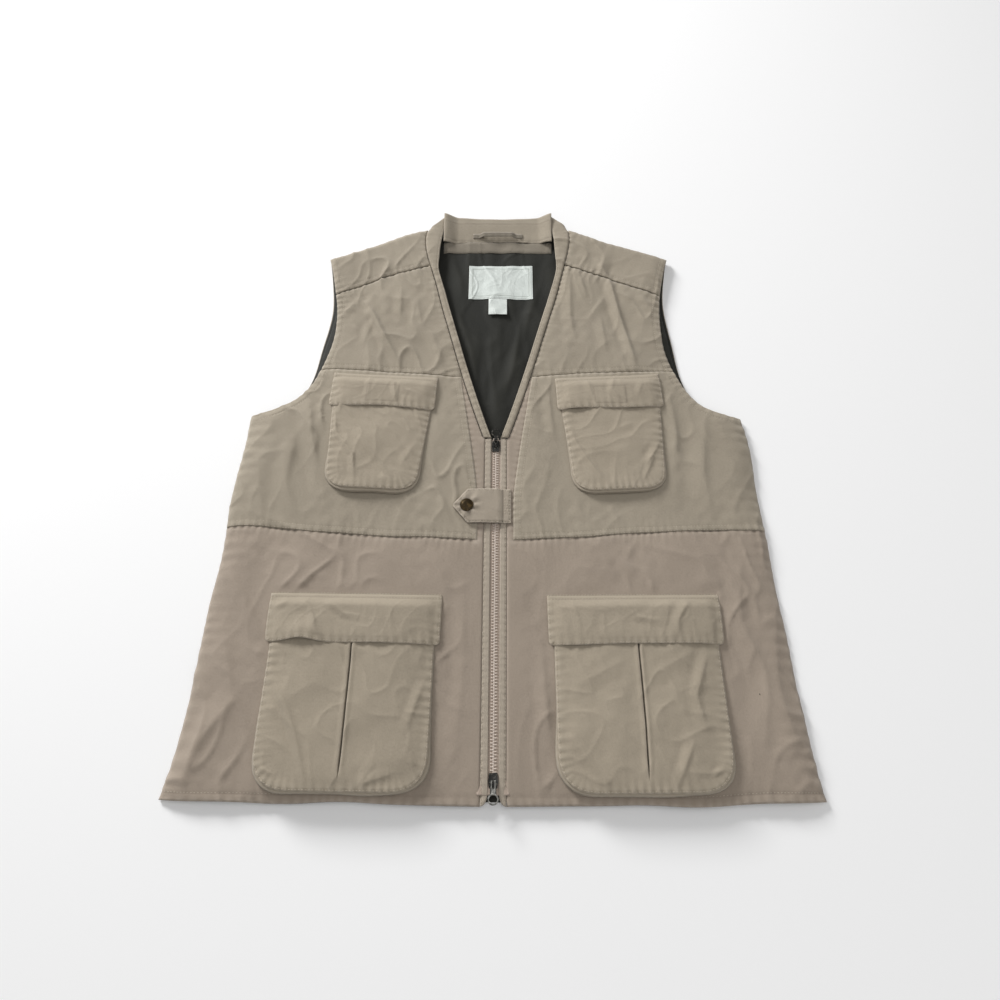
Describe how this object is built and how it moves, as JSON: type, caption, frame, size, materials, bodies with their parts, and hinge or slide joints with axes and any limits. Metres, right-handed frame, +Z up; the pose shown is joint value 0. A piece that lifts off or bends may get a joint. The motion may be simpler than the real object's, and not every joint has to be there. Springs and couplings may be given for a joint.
{
  "type": "fishing vest",
  "caption": "Sleeveless V-neck fishing vest in washed cotton, closed and lying on its back, with flap pockets, a two-way zip and a snap tab.",
  "frame": {"origin": "middle of the footprint, on the surface the vest lies on", "axes": "+Y from the hem to the collar, +X to the wearer's left, +Z up from the table out of the front"},
  "size_m": [0.6314, 0.74, 0.0258],
  "materials": {
    "shell_cloth": "washed cotton twill",
    "lining_cloth": "smooth dark lining",
    "label_satin": "woven satin",
    "zip_tape_cloth": "woven polyester tape",
    "zip_tooth_plastic": "moulded plastic",
    "slider_metal": "black enamel",
    "pull_metal": "worn gunmetal",
    "aged_brass": "antique dark brass",
    "hook_and_loop": "looped nylon"
  },
  "bodies": {
    "vest": {"back_panel": "shell_cloth", "collar_stand": "shell_cloth", "neck_facing": "shell_cloth", "hanger_loop": "shell_cloth", "tab_anchor": "shell_cloth", "left_front_panel": "shell_cloth", "left_chest_panel": "shell_cloth", "left_upper_front": "shell_cloth", "left_shoulder_yoke": "shell_cloth", "left_zip_placket": "shell_cloth", "left_neckband": "shell_cloth", "left_side_seam": "shell_cloth", "left_chest_pocket_gusset": "shell_cloth", "left_chest_pocket_front": "shell_cloth", "left_lower_pocket_gusset": "shell_cloth", "left_lower_pocket_front": "shell_cloth", "right_front_panel": "shell_cloth", "right_chest_panel": "shell_cloth", "right_upper_front": "shell_cloth", "right_shoulder_yoke": "shell_cloth", "right_zip_placket": "shell_cloth", "right_neckband": "shell_cloth", "right_side_seam": "shell_cloth", "right_chest_pocket_gusset": "shell_cloth", "right_chest_pocket_front": "shell_cloth", "right_lower_pocket_gusset": "shell_cloth", "right_lower_pocket_front": "shell_cloth", "back_lining": "lining_cloth", "left_front_lining": "lining_cloth", "right_front_lining": "lining_cloth", "woven_label": "label_satin", "left_zip_tape": "zip_tape_cloth", "right_zip_tape": "zip_tape_cloth", "left_zip_teeth": "zip_tooth_plastic", "right_zip_teeth": "zip_tooth_plastic", "left_zip_top_stop": "zip_tooth_plastic", "right_zip_top_stop": "zip_tooth_plastic", "left_zip_bottom_pin": "slider_metal", "right_zip_bottom_pin": "slider_metal", "snap_stud": "aged_brass", "left_chest_flap_loop_patch": "hook_and_loop", "left_lower_flap_loop_patch": "hook_and_loop", "right_chest_flap_loop_patch": "hook_and_loop", "right_lower_flap_loop_patch": "hook_and_loop"},
    "left_chest_flap": {"left_chest_pocket_flap": "shell_cloth", "left_chest_flap_hook_patch": "hook_and_loop"},
    "left_lower_flap": {"left_lower_pocket_flap": "shell_cloth", "left_lower_flap_hook_patch": "hook_and_loop"},
    "right_chest_flap": {"right_chest_pocket_flap": "shell_cloth", "right_chest_flap_hook_patch": "hook_and_loop"},
    "right_lower_flap": {"right_lower_pocket_flap": "shell_cloth", "right_lower_flap_hook_patch": "hook_and_loop"},
    "tab": {"closure_tab": "shell_cloth", "snap_cap": "aged_brass", "snap_socket": "aged_brass"},
    "top_slider": {"top_slider": "slider_metal"},
    "top_pull": {"top_slider_pull": "pull_metal"},
    "bottom_slider": {"bottom_slider": "slider_metal"},
    "bottom_pull": {"bottom_slider_pull": "pull_metal"},
    "size_tag": {"size_tag": "label_satin"}
  },
  "joints": [
    {"name": "left_chest_flap_lift", "type": "hinge", "parent": "vest", "child": "left_chest_flap", "pos_m": [0.1335, 0.111, 0.0137], "axis": [-0.9986, -0.0523, 0], "range_deg": [0, 130]},
    {"name": "left_lower_flap_lift", "type": "hinge", "parent": "vest", "child": "left_lower_flap", "pos_m": [0.1465, -0.161, 0.0122], "axis": [-0.9999, -0.0105, 0], "range_deg": [0, 130]},
    {"name": "right_chest_flap_lift", "type": "hinge", "parent": "vest", "child": "right_chest_flap", "pos_m": [-0.1335, 0.111, 0.0137], "axis": [-0.9986, 0.0523, 0], "range_deg": [0, 130]},
    {"name": "right_lower_flap_lift", "type": "hinge", "parent": "vest", "child": "right_lower_flap", "pos_m": [-0.1465, -0.161, 0.0122], "axis": [-0.9999, 0.0105, 0], "range_deg": [0, 130]},
    {"name": "tab_fold", "type": "hinge", "parent": "vest", "child": "tab", "pos_m": [0.00785, -0.061, 0.01595], "axis": [0, 1, 0], "range_deg": [0, 150]},
    {"name": "top_slider_run", "type": "slide", "parent": "vest", "child": "top_slider", "axis": [0, -1, 0], "range_m": [0, 0.23], "deforming": ["left_zip_teeth", "right_zip_teeth"]},
    {"name": "top_pull_flip", "type": "hinge", "parent": "top_slider", "child": "top_pull", "pos_m": [0, 0.015, 0.0125], "axis": [1, 0, 0], "range_deg": [0, 170]},
    {"name": "bottom_slider_run", "type": "slide", "parent": "vest", "child": "bottom_slider", "axis": [0, 1, 0], "range_m": [0, 0.08], "deforming": ["left_zip_teeth", "right_zip_teeth"]},
    {"name": "bottom_pull_flip", "type": "hinge", "parent": "bottom_slider", "child": "bottom_pull", "pos_m": [0, -0.347, 0.0125], "axis": [-1, 0, 0], "range_deg": [0, 170]},
    {"name": "size_tag_flip", "type": "hinge", "parent": "vest", "child": "size_tag", "pos_m": [0.0008, 0.2316, 0.003], "axis": [-1, 0, 0], "range_deg": [0, 140]}
  ]
}
